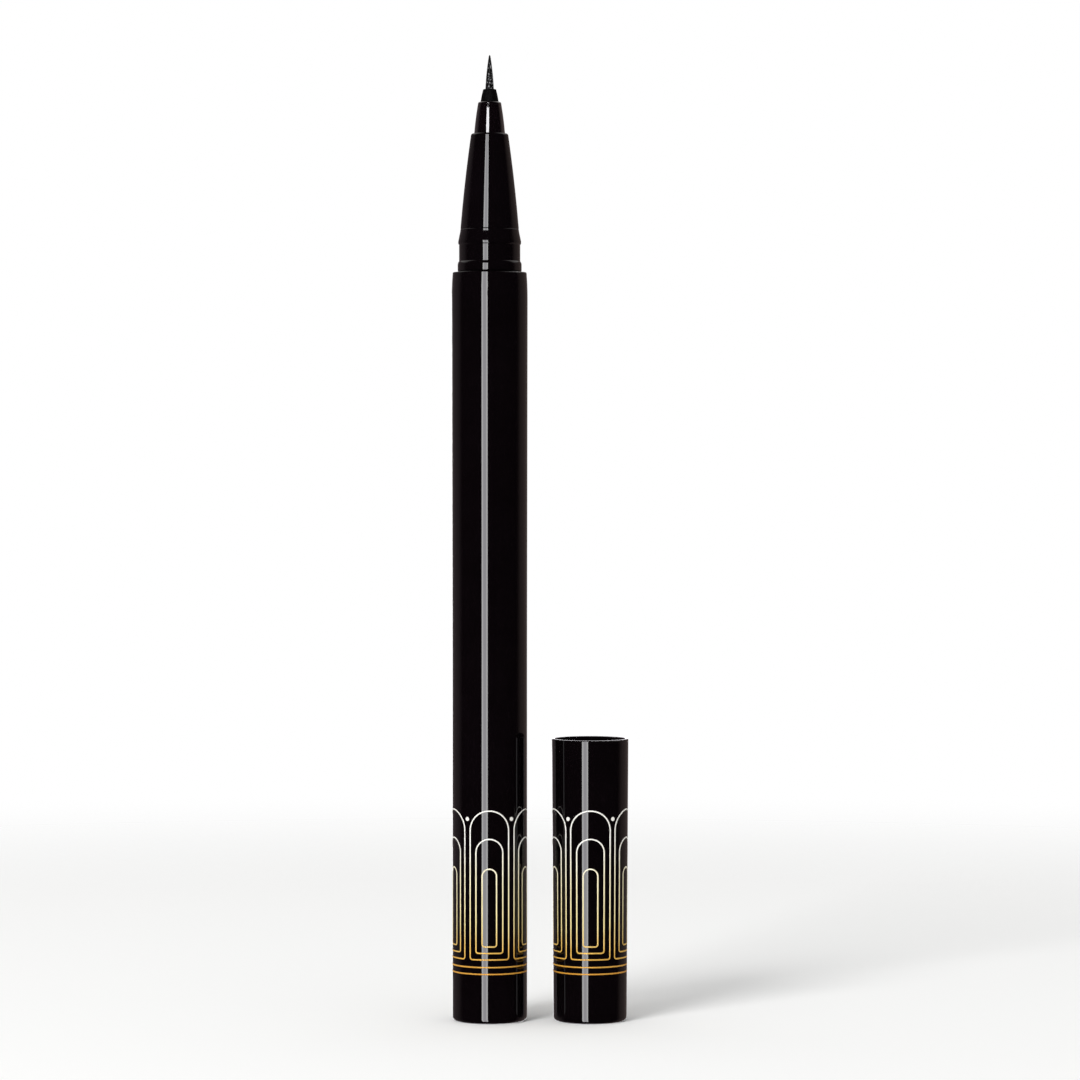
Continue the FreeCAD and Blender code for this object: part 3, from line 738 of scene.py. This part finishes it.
def makeStrip(name, strip):
    # upright strip light, bent round the object, whose brightness across it follows the stops
    material, tree, _ = startMaterial(name)
    across = addNode(tree, "ShaderNodeUVMap", uv_map="across")
    share = addNode(tree, "ShaderNodeSeparateXYZ", {"Vector": across})
    ramp = addNode(tree, "ShaderNodeValToRGB", {"Fac": share}, stops=strip["stops"])
    glow = addNode(tree, "ShaderNodeEmission", {"Color": ramp, "Strength": strip["strength"]})
    addNode(tree, "ShaderNodeOutputMaterial", {"Surface": glow})
    first, last = strip["azimuths"]
    low, high = strip["heights"]
    columns = []
    work = bmesh.new()
    layer = work.loops.layers.uv.new("across")
    for k in range(stripSteps + 1):
        angle = math.radians(first + (last - first) * k / stripSteps)
        x = stripDistance * math.sin(angle)
        y = -stripDistance * math.cos(angle)
        columns.append((work.verts.new((x, y, low)), work.verts.new((x, y, high))))
    for k in range(stripSteps):
        face = work.faces.new((columns[k][0], columns[k][1], columns[k + 1][1], columns[k + 1][0]))
        for loop, column in zip(face.loops, (k, k, k + 1, k + 1)):
            loop[layer].uv = (column / stripSteps, 0.5)
    onlyReflected(fromBmesh(name, work, material))


# lights: a white surround that is dimmer for diffuse light than for the eye, and one soft lamp

surround = {"fill": 0.64, "ground": 1.0}
keyLamp = {"place": (-0.8, -1.24, 0.95), "target": (0.0, 0.0, 0.03), "size": 0.7, "energy": 20.0}


def makeWorld():
    world = bpy.data.worlds.new("studio")
    bpy.context.scene.world = world
    world.use_nodes = True
    tree = world.node_tree
    tree.nodes.clear()
    path = addNode(tree, "ShaderNodeLightPath").outputs
    seen = addNode(tree, calc, {0: path["Is Camera Ray"], 1: path["Is Glossy Ray"]}, operation="MAXIMUM")
    shown = addNode(tree, calc, {0: seen, 1: path["Is Transmission Ray"]}, operation="MAXIMUM")
    fill, ground = [
        addNode(tree, "ShaderNodeBackground", {"Color": fromHex("#ffffff"), "Strength": surround[label]})
        for label in ("fill", "ground")]
    mix = addNode(tree, "ShaderNodeMixShader", {0: shown, 1: fill, 2: ground})
    addNode(tree, "ShaderNodeOutputWorld", {"Surface": mix})


def addLamp(name, lamp):
    light = bpy.data.lights.new(name, "AREA")
    light.shape = "DISK"
    light.size = lamp["size"]
    light.energy = lamp["energy"]
    thing = bpy.data.objects.new(name, light)
    thing.location = lamp["place"]
    beam = Vector(lamp["target"]) - Vector(lamp["place"])
    thing.rotation_euler = beam.to_track_quat("-Z", "Y").to_euler()
    thing.visible_camera = False
    thing.visible_glossy = False
    bpy.context.scene.collection.objects.link(thing)


makeFloor()
makeTent()
makeStrip("keyStrip", keyStrip)
makeStrip("rearStrip", rearStrip)
makeWorld()
addLamp("keyLamp", keyLamp)
print("stage and lights set")


# camera: long lens, a little above the middle of the pen

view = {
    "lens": 140.0,
    "sensor": 36.0,
    "x": 6.62,  # between the pen and the cap
    "height": 73.85,
    "distance": 553.0,
    "aimHeight": 63.35,
    "nearest": 10.0,  # what is closer isn't drawn
}
cameraData = bpy.data.cameras.new("camera")
cameraData.lens = view["lens"]
cameraData.sensor_width = view["sensor"]
cameraData.clip_start = view["nearest"] * mm
camera = bpy.data.objects.new("camera", cameraData)
bpy.context.scene.collection.objects.link(camera)
camera.location = (view["x"] * mm, -view["distance"] * mm, view["height"] * mm)
looking = Vector((view["x"] * mm, 0.0, view["aimHeight"] * mm)) - camera.location
camera.rotation_euler = looking.to_track_quat("-Z", "Y").to_euler()
bpy.context.scene.camera = camera
bpy.context.scene.view_settings.view_transform = "Standard"

print("scene ready")
